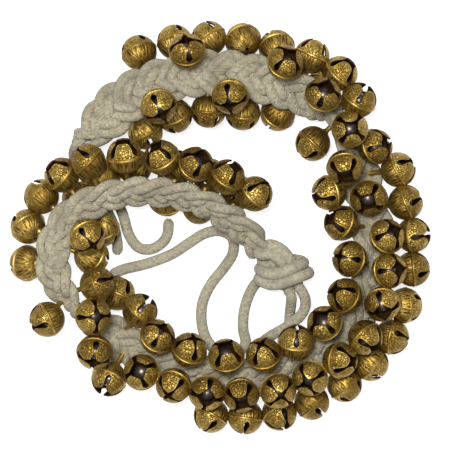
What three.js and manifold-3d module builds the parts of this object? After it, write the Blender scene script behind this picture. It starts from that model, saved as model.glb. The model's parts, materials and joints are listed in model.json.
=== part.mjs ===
// Ghungroo ankle bells: cast brass crotal bells threaded along a plaited cotton band, which lies in an
// open spiral with its inner end tied in a knot and its tie cords loose.
// Millimetres, +Z up, lying on z = 0, with the origin under the middle of the band and its bells.
import * as THREE from "three";
import { mergeVertices } from "three/addons/utils/BufferGeometryUtils.js";
import Module from "manifold-3d";

const wasm = await Module();
wasm.setup();

// Bell casting
const BELL_DIAMETER = 18;
const BELL_WALL = 1.1;
const RIM_PROUD = 0.35;
const RIM_HEIGHT = 1.2;
const SHANK_LENGTH = 2.5;
const SHANK_DIAMETER = 2.6;
const SLOT_WIDTH = 1.8;
const KEYHOLE_DIAMETER = 3.6;
const KEYHOLE_HEIGHT = 2.6;
const MOUTH_DIAMETER = 6;
const BELL_COLUMNS = 12;

// Steel pellet that rattles in the bell
const PELLET_DIAMETER = 8;
const PELLET_PLAY = 0.6;

// Plaited cotton band
const BAND_WIDTH = 21;
const BAND_THICKNESS = 9;
const BAND_FLAT_WIDTH = 12.6;
const BAND_EDGE_THICKNESS = 3.2;
const LUMP_PITCH = 14;
const LUMP_DEPTH = 0.6;
const BAND_TIP_WIDTH = 10;
const BAND_NECK_WIDTH = 13;
const BAND_TAPER_LENGTH = 16;

// Cords and knot
const CORD_DIAMETER = 5;
const CORD_SIDES = 8;
const KNOT_CORE_DIAMETER = 13;
const WRAP_TURNS = 2;
const WRAP_PITCH = 5.8;
const WRAP_SIDES = 6;
const WRAP_STEPS_PER_TURN = 24;
const WRAP_START_ANGLE = 200;

// Pattern of the bells along the band
const SIDE_ROW_LEAN = 64;
const CHAIN_LENGTH = 4;
const DEEPEST_BITE = 2.4;
const BITE_VOLUME = 0.3;
const ROW_START = 24;
const ROW_END_MARGIN = 6;
const OUTER_END_MARGIN = 34;
const LOOSE_END_MARGIN = 30;
const FREE_BELL_GAP = 0.6;
const MARCH_STEP = 0.2;
const MOST_LIFTS = 6;

// Single bells on the plain face where the band twists: angle from the bell side, distance along the band
const TWIST_BELLS = [
  [180, 152],
  [180, 424],
  [-130, 438.5],
];

// Bells that lie loose on the plain face of the band
const LOOSE_SEAT_OFFSET = 5;
const LOOSE_LEAN = 34;
const LOOSE_PITCH = 21;
const LOOSE_SWING = 60;
const SIDE_SWING = 15;
const PLAIN_FACE_UP_LEAN = 8;

// Clearances
const SEAT_GAP = 0.3;
const ROOM_GAP = 0.45;

// Axis of the band from the knot to the far end: x, y, height, and roll of the bell side in degrees.
// A roll of 0 or 360 has the bells on top, 180 or 540 has the plain face on top.
const ROUTE_HEIGHT = 2;
const ROUTE_ROLL = 3;
const TANGENT_STEP = 1e-4;
const BAND_ROUTE = [
  [18.5, -13.5, 12, 135],
  [7.5, -1, 22, 126],
  [-12.5, 11.5, 29.5, 122],
  [-37.5, 16.5, 29.5, 124],
  [-61, 13.5, 28, 140],
  [-78.5, 2, 26, 178],
  [-86, -13, 26, 196],
  [-84, -28, 25, 212],
  [-73, -43.5, 16, 280],
  [-57, -55.5, 11, 352],
  [-39.5, -66, 9, 388],
  [-17.5, -74, 9, 390],
  [5, -76.5, 11.5, 390],
  [24, -75, 11.5, 390],
  [46, -65.5, 11, 388],
  [64, -50.5, 11, 390],
  [72.5, -31, 11, 390],
  [75, -11, 9.5, 382],
  [73, 8, 4.5, 360],
  [69.5, 20, 4.5, 360],
  [66, 33, 8, 380],
  [60, 46.5, 13, 430],
  [44, 61.5, 22, 505],
  [20, 72, 26, 540],
  [-10, 75.5, 26, 540],
  [-37, 69.5, 26, 540],
  [-56, 56.5, 25, 540],
  [-68, 43, 20, 540],
];

// Axis of the knot, from the neck of the band to where the tie cords leave
const KNOT_TOP = new THREE.Vector3(20.2, -15.2, 12.3);
const KNOT_FOOT = new THREE.Vector3(33.5, -31.5, 12.3);

// Tie cords, in the order in which each runs from its exit to its bare end
const CORD_FLOOR = CORD_DIAMETER / 2;
const CORD_ROUTES = {
  long_tie_cord: [
    [17.5, -27.5, 6],
    [14.4, -31, CORD_FLOOR],
    [11.4, -37, CORD_FLOOR],
    [9.4, -45, CORD_FLOOR],
    [9.2, -53, CORD_FLOOR],
    [10.4, -59, CORD_FLOOR],
    [8.5, -62.8, CORD_FLOOR],
    [2.5, -65.2, CORD_FLOOR],
    [-4, -63.6, CORD_FLOOR],
    [-8.2, -59.4, CORD_FLOOR],
    [-10.8, -54, CORD_FLOOR],
    [-12, -46, CORD_FLOOR],
    [-11, -38, CORD_FLOOR],
    [-6.5, -29, CORD_FLOOR],
    [-0.5, -21.5, CORD_FLOOR],
    [4, -14, CORD_FLOOR],
    [3.6, -6.5, CORD_FLOOR],
    [-2.5, -3, CORD_FLOOR],
    [-10, -4.2, CORD_FLOOR],
    [-18, -9, CORD_FLOOR],
    [-26.5, -14.5, CORD_FLOOR],
    [-39.5, -19.5, CORD_FLOOR],
    [-51.5, -22.5, CORD_FLOOR],
    [-58, -25.5, CORD_FLOOR],
  ],
  left_foot_cord: [
    [31.4, -33.6, 12.3],
    [33.2, -35.8, 12.1],
    [33.2, -39.4, 8.6],
    [32.8, -43.6, 4.4],
    [32.6, -47.4, CORD_FLOOR],
    [32.8, -51.4, CORD_FLOOR],
    [34.4, -54.6, CORD_FLOOR],
    [37.6, -56.2, CORD_FLOOR],
    [41, -55.4, CORD_FLOOR],
  ],
  right_foot_cord: [
    [35.9, -29.9, 12.3],
    [38.4, -33, 12.2],
    [40.2, -36.8, 11],
    [40.4, -40.6, 9.6],
    [38.6, -44.8, 8.8],
    [34.4, -48.8, 8.4],
    [29.4, -52.2, 7.2],
    [24.6, -55, 4.6],
    [20.4, -57.8, 2.8],
    [16.6, -61.5, CORD_FLOOR],
  ],
  near_end_cord: [
    [-70.4, 44.4, 20],
    [-73.7, 40.7, 19.7],
    [-75.8, 36.5, 14],
    [-75.6, 32.5, 8.5],
    [-74, 28.6, 4.6],
    [-70.5, 24, CORD_FLOOR],
    [-65, 16, CORD_FLOOR],
    [-59.5, 7, CORD_FLOOR],
    [-56, -1, CORD_FLOOR],
    [-54.3, -10, CORD_FLOOR],
    [-54.6, -15, CORD_FLOOR],
  ],
  far_end_cord: [
    [-66.5, 40.7, 20],
    [-69.4, 37.4, 19.7],
    [-69.6, 34.6, 14],
    [-68.2, 32.2, 8.5],
    [-65.6, 29.2, 4.6],
    [-62, 24, CORD_FLOOR],
    [-56, 15, CORD_FLOOR],
    [-51.5, 5, CORD_FLOOR],
    [-48.2, -5.5, CORD_FLOOR],
    [-43.5, -11.4, CORD_FLOOR],
    [-37.5, -12.2, CORD_FLOOR],
    [-31.8, -9, CORD_FLOOR],
    [-29.2, -5, CORD_FLOOR],
    [-28.4, 3.2, CORD_FLOOR],
  ],
};

const BELL_RADIUS = BELL_DIAMETER / 2;
const PELLET_RADIUS = PELLET_DIAMETER / 2;
const CORD_RADIUS = CORD_DIAMETER / 2;
const WRAP_RADIUS = KNOT_CORE_DIAMETER / 2 + SEAT_GAP + CORD_RADIUS;
const UP = new THREE.Vector3(0, 0, 1);
const radians = THREE.MathUtils.degToRad;

const BRASS = { color: 0x96752c, roughness: 0.42, metalness: 0.9 };
const COTTON = { color: 0xb0aa96, roughness: 0.95, metalness: 0 };
const STEEL = { color: 0x6a6562, roughness: 0.3, metalness: 1 };

const root = new THREE.Group();
const assembly = new THREE.Group();
root.add(assembly);

function addMesh(name, geometry, finish, matrix = new THREE.Matrix4()) {
  const mesh = new THREE.Mesh(geometry, new THREE.MeshStandardMaterial(finish));
  mesh.name = name;
  mesh.applyMatrix4(matrix);
  assembly.add(mesh);
  return mesh;
}

const numbered = (stem, index) => `${stem}_${String(index + 1).padStart(2, "0")}`;

// Booleans: a closed geometry as a solid, and a solid as a geometry
function toSolid(geometry) {
  const bare = new THREE.BufferGeometry();
  bare.setAttribute("position", geometry.getAttribute("position").clone());
  bare.setIndex(geometry.index);
  const merged = mergeVertices(bare, 1e-4);
  return new wasm.Manifold(
    new wasm.Mesh({
      numProp: 3,
      vertProperties: merged.getAttribute("position").array,
      triVerts: new Uint32Array(merged.index.array),
    }),
  );
}

function toGeometry(solid) {
  const mesh = solid.getMesh();
  const geometry = new THREE.BufferGeometry();
  geometry.setAttribute("position", new THREE.BufferAttribute(mesh.vertProperties, mesh.numProp));
  geometry.setIndex(new THREE.BufferAttribute(mesh.triVerts, 1));
  return geometry;
}

// A closed skin over rings of points, with a point at each end
function skin(rings, firstTip, lastTip) {
  const count = rings[0].length;
  const points = [firstTip, ...rings.flat(), lastTip];
  const at = (ring, column) => 1 + ring * count + (column % count);
  const last = points.length - 1;
  const faces = [];
  for (let column = 0; column < count; column++) {
    faces.push(0, at(0, column + 1), at(0, column));
    for (let ring = 0; ring + 1 < rings.length; ring++) {
      faces.push(at(ring, column), at(ring, column + 1), at(ring + 1, column + 1));
      faces.push(at(ring, column), at(ring + 1, column + 1), at(ring + 1, column));
    }
    faces.push(at(rings.length - 1, column), at(rings.length - 1, column + 1), last);
  }
  return new THREE.BufferGeometry().setFromPoints(points).setIndex(faces);
}

// The band's axis: position and frame at a distance along it.
// bellSide points out of the face that carries the bells, edge points to the right of it.
class BandAxis {
  constructor(route) {
    this.route = route;
    this.plan = new THREE.CatmullRomCurve3(
      route.map(([x, y]) => new THREE.Vector3(x, y, 0)),
      false,
      "centripetal",
    );
    this.lengths = this.plan.getLengths(route.length * 60);
    this.length = this.lengths.at(-1);
  }

  parameterAt(distance) {
    const clamped = THREE.MathUtils.clamp(distance, 0, this.length);
    let low = 0;
    let high = this.lengths.length - 1;
    while (high - low > 1) {
      const middle = (low + high) >> 1;
      if (this.lengths[middle] <= clamped) low = middle;
      else high = middle;
    }
    const part = (clamped - this.lengths[low]) / (this.lengths[high] - this.lengths[low]);
    return (low + part) / (this.lengths.length - 1);
  }

  // Height and roll ease from one point of the route to the next without passing either
  eased(parameter, column) {
    const place = parameter * (this.route.length - 1);
    const index = Math.min(Math.floor(place), this.route.length - 2);
    const share = THREE.MathUtils.smoothstep(place - index, 0, 1);
    return THREE.MathUtils.lerp(this.route[index][column], this.route[index + 1][column], share);
  }

  axisPoint(parameter) {
    return this.plan.getPoint(parameter).setZ(this.eased(parameter, ROUTE_HEIGHT));
  }

  frameAt(distance) {
    const parameter = this.parameterAt(distance);
    const origin = this.axisPoint(parameter);
    const ahead = this.axisPoint(Math.min(parameter + TANGENT_STEP, 1));
    const along = ahead.sub(this.axisPoint(Math.max(parameter - TANGENT_STEP, 0))).normalize();
    const right = along.clone().cross(UP).normalize();
    const above = right.clone().cross(along);
    const roll = radians(this.eased(parameter, ROUTE_ROLL));
    const bellSide = above.clone().multiplyScalar(Math.cos(roll)).addScaledVector(right, Math.sin(roll));
    const edge = right.clone().multiplyScalar(Math.cos(roll)).addScaledVector(above, -Math.sin(roll));
    return { origin, along, bellSide, edge };
  }

  pointAt(distance, across, out) {
    const { origin, edge, bellSide } = this.frameAt(distance);
    return origin.clone().addScaledVector(edge, across).addScaledVector(bellSide, out);
  }
}

const band = new BandAxis(BAND_ROUTE);

// Half of the band's section, from the plain face round one edge to the bell side
function halfSection(halfWidth) {
  const flat = (BAND_FLAT_WIDTH / BAND_WIDTH) * halfWidth;
  return [
    [flat, -BAND_THICKNESS / 2],
    [halfWidth, -BAND_EDGE_THICKNESS / 2],
    [halfWidth, BAND_EDGE_THICKNESS / 2],
    [flat, BAND_THICKNESS / 2],
  ];
}

// The band narrows to the knot at its start and to a rounded tip at its end
function bandHalfWidth(distance) {
  const full = BAND_WIDTH / 2;
  const ease = (gone) => Math.sin((Math.PI / 2) * THREE.MathUtils.clamp(gone / BAND_TAPER_LENGTH, 0, 1));
  const neck = THREE.MathUtils.lerp(BAND_NECK_WIDTH / 2, full, ease(distance));
  const tip = THREE.MathUtils.lerp(BAND_TIP_WIDTH / 2, full, ease(band.length - distance));
  return Math.min(neck, tip);
}

// Plaited band: the lumps of the strands swell the two edges in turn
function braidedBand() {
  const count = Math.round(band.length / (LUMP_PITCH / 2));
  const rings = [];
  for (let index = 0; index <= count; index++) {
    const distance = (band.length * index) / count;
    const halfWidth = bandHalfWidth(distance);
    const dip = (side) => (index % 2 === side ? LUMP_DEPTH : 0);
    const right = halfSection(halfWidth - dip(0)).map(([across, out]) => band.pointAt(distance, across, out));
    const left = halfSection(halfWidth - dip(1)).map(([across, out]) => band.pointAt(distance, -across, out));
    rings.push([...left, ...right.reverse()]);
  }
  return skin(rings, band.pointAt(0, 0, 0), band.pointAt(band.length, 0, 0));
}

const bandMesh = addMesh("braided_band", braidedBand(), COTTON);
const bandSolid = toSolid(bandMesh.geometry);

// The seat that a shank finds on the band's skin, on its way in towards a point inside the band
function seatOn(inside, outward) {
  const start = inside.clone().addScaledVector(outward, BAND_WIDTH);
  const [hit] = new THREE.Raycaster(start, outward.clone().negate()).intersectObject(bandMesh);
  return hit.point.addScaledVector(outward, SEAT_GAP);
}

// Where a bell stands: its axis runs from the seat on the band through the middle of the bell
function bellPlace(seat, axis, along) {
  const centre = seat.clone().addScaledVector(axis, SHANK_LENGTH + BELL_RADIUS);
  const side = axis.clone().cross(along).normalize();
  const ahead = side.clone().cross(axis);
  const matrix = new THREE.Matrix4().makeBasis(ahead, side, axis).setPosition(centre);
  return { seat, axis, along, centre, matrix };
}

// A bell of a row: it stands out from the band's axis at an angle from the bell side
function rowBell(distance, angle) {
  const { origin, along, bellSide, edge } = band.frameAt(distance);
  const axis = bellSide.clone().multiplyScalar(Math.cos(angle)).addScaledVector(edge, Math.sin(angle));
  return bellPlace(seatOn(origin, axis), axis, along);
}

// A loose bell stands on the plain face, and leans towards its own edge
function looseBell(distance, side) {
  const { along, bellSide, edge } = band.frameAt(distance);
  const seat = seatOn(band.pointAt(distance, side * LOOSE_SEAT_OFFSET, 0), bellSide.clone().negate());
  const lean = radians(LOOSE_LEAN);
  const axis = bellSide.clone().multiplyScalar(-Math.cos(lean)).addScaledVector(edge, side * Math.sin(lean));
  return bellPlace(seat, axis, along);
}

// The same bell after it has swung about the line through its seat
function swung(bell, degrees) {
  const axis = bell.axis.clone().applyAxisAngle(bell.along, radians(degrees));
  return bellPlace(bell.seat, axis, bell.along);
}

// Room: what is already in place, as balls
const taken = [];

function take(point, radius) {
  taken.push({ point, radius });
}

function hasRoom(centre, except = []) {
  if (centre.z < BELL_RADIUS) return false;
  return taken.every(
    ({ point, radius }) =>
      except.includes(point) || centre.distanceTo(point) >= BELL_RADIUS + radius + ROOM_GAP,
  );
}

function takeBand() {
  const step = BAND_THICKNESS / 3;
  const reach = (BAND_WIDTH - BAND_THICKNESS) / 2;
  for (let distance = 0; distance <= band.length; distance += step) {
    for (const share of [-1, -0.5, 0, 0.5, 1]) {
      take(band.pointAt(distance, share * reach, 0), BAND_THICKNESS / 2);
    }
  }
}

function takeCurve(curve, radius) {
  const count = Math.ceil(curve.getLength() / radius);
  for (const point of curve.getSpacedPoints(count)) take(point, radius);
}

// Bell of a chain: a filled casting with four petals, cut with few faces
function petalBell() {
  const column = (index) => (index * 2 * Math.PI) / BELL_COLUMNS;
  const isSlot = (index) => index % (BELL_COLUMNS / 4) === 0;
  const petalEdge = radians(16);
  const ring = (latitude, slotShare) =>
    Array.from({ length: BELL_COLUMNS }, (_, index) => {
      const quarter = Math.floor((index * 4) / BELL_COLUMNS) * (Math.PI / 2);
      const first = index % (BELL_COLUMNS / 4) === 1;
      const spread = first ? quarter + petalEdge : quarter + Math.PI / 2 - petalEdge;
      const angle = slotShare === 1 || isSlot(index) ? column(index) : spread;
      const radius = BELL_RADIUS * (isSlot(index) ? slotShare : 1);
      const out = radius * Math.cos(radians(latitude));
      return new THREE.Vector3(
        out * Math.cos(angle),
        out * Math.sin(angle),
        radius * Math.sin(radians(latitude)),
      );
    });
  const rings = [ring(-55, 1), ring(0, 1), ring(34, 0.8), ring(62, 0.72)];
  const shankTip = new THREE.Vector3(0, 0, -BELL_RADIUS - SHANK_LENGTH);
  const mouth = new THREE.Vector3(0, 0, BELL_RADIUS * 0.6);
  return skin(rings, shankTip, mouth);
}

// Cross of slots: each slot has a round end near the rim and is open at the mouth
function slotCutter() {
  const half = SLOT_WIDTH / 2;
  const hole = KEYHOLE_DIAMETER / 2;
  const opening = Math.asin(half / hole);
  const outline = new THREE.Shape();
  outline.moveTo(half, BELL_DIAMETER);
  outline.lineTo(-half, BELL_DIAMETER);
  outline.absarc(0, KEYHOLE_HEIGHT, hole, Math.PI / 2 + opening, Math.PI * 2.5 - opening, false);
  outline.closePath();
  const options = { depth: 2 * BELL_DIAMETER, bevelEnabled: false, curveSegments: 3 };
  const prism = new THREE.ExtrudeGeometry(outline, options).translate(0, 0, -BELL_DIAMETER);
  const across = toSolid(prism.clone().rotateX(Math.PI / 2));
  return across.add(toSolid(prism.clone().rotateX(Math.PI / 2).rotateZ(Math.PI / 2)));
}

// Hollow bell: a turned shell with its shank, cut into four petals
function hollowBell() {
  const inner = BELL_RADIUS - BELL_WALL;
  const shank = SHANK_DIAMETER / 2;
  const mouth = MOUTH_DIAMETER / 2;
  const on = (radius, degrees) =>
    new THREE.Vector2(radius * Math.cos(radians(degrees)), radius * Math.sin(radians(degrees)));
  const lip = (radius) => new THREE.Vector2(mouth, Math.sqrt(radius ** 2 - mouth ** 2));
  const profile = [
    new THREE.Vector2(0, -BELL_RADIUS - SHANK_LENGTH),
    new THREE.Vector2(shank, -BELL_RADIUS - SHANK_LENGTH + shank),
    new THREE.Vector2(shank, -Math.sqrt(BELL_RADIUS ** 2 - shank ** 2)),
    on(BELL_RADIUS, -40),
    new THREE.Vector2(BELL_RADIUS + RIM_PROUD, -RIM_HEIGHT / 2),
    new THREE.Vector2(BELL_RADIUS, RIM_HEIGHT / 2),
    on(BELL_RADIUS, 38),
    lip(BELL_RADIUS),
    lip(inner),
    on(inner, 30),
    on(inner, -20),
    on(inner, -55),
    new THREE.Vector2(0, -inner),
  ];
  const shell = toSolid(new THREE.LatheGeometry(profile, BELL_COLUMNS).rotateX(Math.PI / 2));
  return toGeometry(shell.subtract(slotCutter()));
}

// Knot: a gathered core of cords and the winding that binds it
const knotAxis = KNOT_FOOT.clone().sub(KNOT_TOP).normalize();
const knotSide = knotAxis.clone().cross(UP).normalize();
const knotAbove = knotSide.clone().cross(knotAxis);
const knotMiddle = KNOT_TOP.clone().lerp(KNOT_FOOT, 0.5);

function round(radius, sides) {
  const outline = new THREE.Shape();
  for (let index = 0; index < sides; index++) {
    const angle = (index * 2 * Math.PI) / sides;
    if (index === 0) outline.moveTo(radius, 0);
    else outline.lineTo(radius * Math.cos(angle), radius * Math.sin(angle));
  }
  outline.closePath();
  return outline;
}

function tube(curve, radius, sides, steps) {
  return new THREE.ExtrudeGeometry(round(radius, sides), { steps, extrudePath: curve });
}

// A cord lies on the floor and never dips into it
class CordCurve extends THREE.CatmullRomCurve3 {
  getPoint(share, target = new THREE.Vector3()) {
    const point = super.getPoint(share, target);
    return point.setZ(Math.max(point.z, CORD_FLOOR));
  }
}

class WrapCurve extends THREE.Curve {
  getPoint(share, target = new THREE.Vector3()) {
    const turned = WRAP_TURNS * share;
    const angle = radians(WRAP_START_ANGLE) + turned * 2 * Math.PI;
    return target
      .copy(knotMiddle)
      .addScaledVector(knotAxis, (turned - WRAP_TURNS / 2) * WRAP_PITCH)
      .addScaledVector(knotSide, WRAP_RADIUS * Math.cos(angle))
      .addScaledVector(knotAbove, WRAP_RADIUS * Math.sin(angle));
  }
}

// The least gap of a winding to itself, between points that lie over half a turn apart
function selfGap(curve, radius) {
  const points = curve.getPoints(WRAP_TURNS * WRAP_STEPS_PER_TURN);
  let least = Infinity;
  for (let first = 0; first < points.length; first++) {
    for (let second = first + WRAP_STEPS_PER_TURN / 2; second < points.length; second++) {
      least = Math.min(least, points[first].distanceTo(points[second]));
    }
  }
  return least - 2 * radius;
}

function addKnot() {
  const core = new THREE.LineCurve3(KNOT_TOP, KNOT_FOOT);
  const wrap = new WrapCurve();
  addMesh("knot_core", tube(core, KNOT_CORE_DIAMETER / 2, 10, 1), COTTON);
  addMesh("knot_wrap", tube(wrap, CORD_RADIUS, WRAP_SIDES, WRAP_TURNS * WRAP_STEPS_PER_TURN), COTTON);
  console.log(`knot winding: least gap to itself ${selfGap(wrap, CORD_RADIUS).toFixed(2)} mm`);
  takeCurve(core, WRAP_RADIUS + CORD_RADIUS);
}

function addCords() {
  for (const [name, route] of Object.entries(CORD_ROUTES)) {
    const curve = new CordCurve(route.map((point) => new THREE.Vector3(...point)));
    const steps = Math.round(curve.getLength() / (2 * CORD_DIAMETER)) + 2;
    addMesh(name, tube(curve, CORD_RADIUS, CORD_SIDES, steps), COTTON);
    takeCurve(curve, CORD_RADIUS);
  }
}

// Bells that move: a hollow casting that swings on its seat, with its pellet at the lowest point inside
const hollowGeometry = hollowBell();
const pelletGeometry = new THREE.IcosahedronGeometry(PELLET_RADIUS, 1);
let swingingBells = 0;

function addSwingingBell(bell, swing) {
  const free = BELL_RADIUS - BELL_WALL - PELLET_RADIUS - PELLET_PLAY;
  const low = bell.centre.clone().addScaledVector(UP, -free);
  const casting = addMesh(numbered("bell", swingingBells), hollowGeometry, BRASS, bell.matrix);
  casting.userData = { pivot: bell.seat, axis: bell.along, swing };
  const still = new THREE.Matrix4().setPosition(low);
  const pellet = addMesh(numbered("pellet", swingingBells), pelletGeometry, STEEL, still);
  pellet.userData = { travel: 2 * free };
  swingingBells += 1;
}

function roomToSwing(bell, swing, except = []) {
  return [0, 0.5, 1].every((share) => hasRoom(swung(bell, swing * share).centre, except));
}

// Loose bells, on either side in turn, where the plain face looks up
function addLooseBells() {
  let side = 1;
  let last = -Infinity;
  for (let distance = ROW_START; distance < band.length - LOOSE_END_MARGIN; distance += MARCH_STEP) {
    const { bellSide } = band.frameAt(distance);
    if (-bellSide.z < Math.cos(radians(PLAIN_FACE_UP_LEAN)) || distance - last < LOOSE_PITCH) continue;
    const bell = looseBell(distance, side);
    const swing = side * LOOSE_SWING;
    if (!roomToSwing(bell, swing)) continue;
    addSwingingBell(bell, swing);
    for (const share of [0, 0.5, 1]) take(swung(bell, swing * share).centre, BELL_RADIUS);
    side = -side;
    last = distance;
  }
}

// A row of bells: chains of castings that touch. In the side rows a bell swings after each full chain,
// and so does one that touches no other.
const petalGeometry = petalBell();
const chains = [];

function closeChain(chain, swing) {
  const [first] = chain;
  if (chain.length === 1 && swing && roomToSwing(first, swing, [first.centre])) {
    addSwingingBell(first, swing);
    take(swung(first, swing).centre, BELL_RADIUS);
  } else if (first) chains.push(chain);
  return [];
}

function castingSolid(bell) {
  return toSolid(petalGeometry.clone().applyMatrix4(bell.matrix));
}

// How much of two neighbouring castings lies in both
function bite(first, second) {
  return castingSolid(first).intersect(castingSolid(second)).volume();
}

// Where the band twists, a bell rides a little higher to clear its skin
function seatedBell(distance, angle) {
  let bell = rowBell(distance, angle);
  for (let lift = 0; lift < MOST_LIFTS && !castingSolid(bell).intersect(bandSolid).isEmpty(); lift++) {
    bell = bellPlace(bell.seat.clone().addScaledVector(bell.axis, SEAT_GAP), bell.axis, bell.along);
  }
  return bell;
}

function addRow(angle, endMargin, swing) {
  let chain = [];
  let previous = null;
  for (let distance = ROW_START; distance < band.length - endMargin; distance += MARCH_STEP) {
    const growing = chain.length > 0 && chain.length < CHAIN_LENGTH;
    const nearest = growing ? BELL_DIAMETER - DEEPEST_BITE : BELL_DIAMETER + FREE_BELL_GAP;
    if (previous && previous.centre.distanceTo(rowBell(distance, angle).centre) < nearest) continue;
    const bell = seatedBell(distance, angle);
    const apart = previous ? previous.centre.distanceTo(bell.centre) : Infinity;
    const touching = growing && apart < BELL_DIAMETER && bite(previous, bell) >= BITE_VOLUME;
    if (touching && bite(previous, seatedBell(distance + MARCH_STEP, angle)) >= BITE_VOLUME) continue;
    if (!touching && apart < BELL_DIAMETER + FREE_BELL_GAP) continue;
    if (swing && chain.length === CHAIN_LENGTH && roomToSwing(bell, swing)) {
      chain = closeChain(chain, swing);
      addSwingingBell(bell, swing);
      take(swung(bell, swing).centre, BELL_RADIUS);
    } else {
      if (!hasRoom(bell.centre, touching ? [previous.centre] : [])) continue;
      if (!touching) chain = closeChain(chain, swing);
      chain.push(bell);
    }
    take(bell.centre, BELL_RADIUS);
    previous = bell;
  }
  closeChain(chain, swing);
}

function addTwistBells() {
  for (const [angle, distance] of TWIST_BELLS) {
    const bell = seatedBell(distance, radians(angle));
    if (!hasRoom(bell.centre)) continue;
    chains.push([bell]);
    take(bell.centre, BELL_RADIUS);
  }
}

// The castings of a chain join where they touch
function addChains() {
  chains.forEach((chain, index) => {
    addMesh(numbered("bell_chain", index), toGeometry(wasm.Manifold.union(chain.map(castingSolid))), BRASS);
  });
}

takeBand();
addKnot();
addCords();
addLooseBells();
addRow(radians(SIDE_ROW_LEAN), ROW_END_MARGIN, SIDE_SWING);
addRow(-radians(SIDE_ROW_LEAN), OUTER_END_MARGIN, -SIDE_SWING);
addRow(0, ROW_END_MARGIN, 0);
addTwistBells();
addChains();

// The origin is under the middle of the band and its bells
const bounds = new THREE.Box3();
assembly.updateMatrixWorld(true);
for (const mesh of assembly.children) {
  if (!(mesh.name in CORD_ROUTES)) bounds.expandByObject(mesh, true);
}
const middle = bounds.getCenter(new THREE.Vector3());
assembly.position.set(-middle.x, -middle.y, -bounds.min.z);

export default root;
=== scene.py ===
"""Ghungroo ankle bells: cast brass bells with steel pellets on a plaited cotton band, on a white floor."""
import json
import math
import random

import bmesh
import bpy
import numpy as np
from mathutils import Matrix, Quaternion, Vector


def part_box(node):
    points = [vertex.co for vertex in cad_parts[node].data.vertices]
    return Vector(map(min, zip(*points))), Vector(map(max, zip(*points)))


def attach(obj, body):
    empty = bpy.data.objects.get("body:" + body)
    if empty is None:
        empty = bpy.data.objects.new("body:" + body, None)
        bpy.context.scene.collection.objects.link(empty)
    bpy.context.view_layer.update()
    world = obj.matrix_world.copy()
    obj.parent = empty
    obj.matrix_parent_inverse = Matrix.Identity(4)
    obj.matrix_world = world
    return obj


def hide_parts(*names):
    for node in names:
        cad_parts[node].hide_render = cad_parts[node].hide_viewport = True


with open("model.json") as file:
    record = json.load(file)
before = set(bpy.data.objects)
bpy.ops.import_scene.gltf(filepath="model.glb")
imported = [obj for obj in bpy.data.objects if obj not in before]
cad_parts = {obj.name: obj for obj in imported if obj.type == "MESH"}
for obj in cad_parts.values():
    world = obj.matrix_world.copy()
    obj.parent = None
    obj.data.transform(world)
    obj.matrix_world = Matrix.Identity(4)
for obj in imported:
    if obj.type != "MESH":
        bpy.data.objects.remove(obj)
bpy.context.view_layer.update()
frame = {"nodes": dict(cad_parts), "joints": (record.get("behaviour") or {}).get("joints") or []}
nodes = frame["nodes"]
MM = 0.001
UP = np.array((0.0, 0.0, 1.0))
dice = random.Random(7)

# Bell and pellet, in millimetres and degrees
BELL_RADIUS = 9.0
SHELL_RADIUS = 8.85
BELL_WALL = 0.9
RIM_PROUD = 0.36
SHANK_LENGTH = 2.5
SHANK_RADIUS = 1.3
SHANK_SUNK = 4.0
PELLET_RADIUS = 4.0
PELLET_DROP = 3.3
CHAIN_LEAN = 36

# Cords and plait, in millimetres: the cords lie a little flattened
CORD_RADIUS = 2.5
CORD_HALF_WIDTH = 2.7
CORD_STEP = 0.8
CORD_SIDES = 16
KNOT_SWELL = 0.4
BAND_WIDTH = 21.0
BAND_NECK_WIDTH = 13.0
BAND_TIP_WIDTH = 10.0
BAND_TAPER_LENGTH = 16.0
PLAIT_PITCH = 36.0
PLAIT_DEPTH = 2.0
PLAIT_STEP = 1.1
STRANDS = 3
STRAND_RADIUS = 2.6
STRAND_SIDES = 10
STRAND_FLATNESS = 0.92
PAIR_OFFSET = 2.3
PAIR_SHARE_AT_EDGE = 0.75
PLAIT_UNEVENNESS = 0.14
UNEVEN_PITCH = 7.0
# The plait is drawn in at the left turn and spread on the top run: distance along it, share of its width
PLAIT_DISTANCES = (0, 60, 80, 150, 190, 440, 470, 565)
PLAIT_SPREADS = (1.0, 0.95, 0.84, 0.84, 1.0, 1.0, 1.12, 1.12)

# Axis of the band from the knot to the far end: x, y, height, and roll of the bell side in degrees
BAND_ROUTE = [
    (18.5, -13.5, 12, 135),
    (7.5, -1, 22, 126),
    (-12.5, 11.5, 29.5, 122),
    (-37.5, 16.5, 29.5, 124),
    (-61, 13.5, 28, 140),
    (-78.5, 2, 26, 178),
    (-86, -13, 26, 196),
    (-84, -28, 25, 212),
    (-73, -43.5, 16, 280),
    (-57, -55.5, 11, 352),
    (-39.5, -66, 9, 388),
    (-17.5, -74, 9, 390),
    (5, -76.5, 11.5, 390),
    (24, -75, 11.5, 390),
    (46, -65.5, 11, 388),
    (64, -50.5, 11, 390),
    (72.5, -31, 11, 390),
    (75, -11, 9.5, 382),
    (73, 8, 4.5, 360),
    (69.5, 20, 4.5, 360),
    (66, 33, 8, 380),
    (60, 46.5, 13, 430),
    (44, 61.5, 22, 505),
    (20, 72, 26, 540),
    (-10, 75.5, 26, 540),
    (-37, 69.5, 26, 540),
    (-56, 56.5, 25, 540),
    (-68, 43, 20, 540),
]

# Loose ends of the strands at the far end of the plait
LOOSE_END_RADIUS = 1.9
LOOSE_ENDS = [
    [(-64, 47, 21), (-68, 47.5, 20.5), (-72, 47, 19), (-75.5, 46, 16.5)],
    [(-65, 44, 19), (-69.5, 43.4, 18.4), (-73.5, 42.4, 17), (-76.4, 41, 14.5)],
    [(-64, 44, 23), (-68.5, 44.6, 23), (-72.5, 44.4, 21.4), (-75.6, 43.6, 19)],
]

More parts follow.
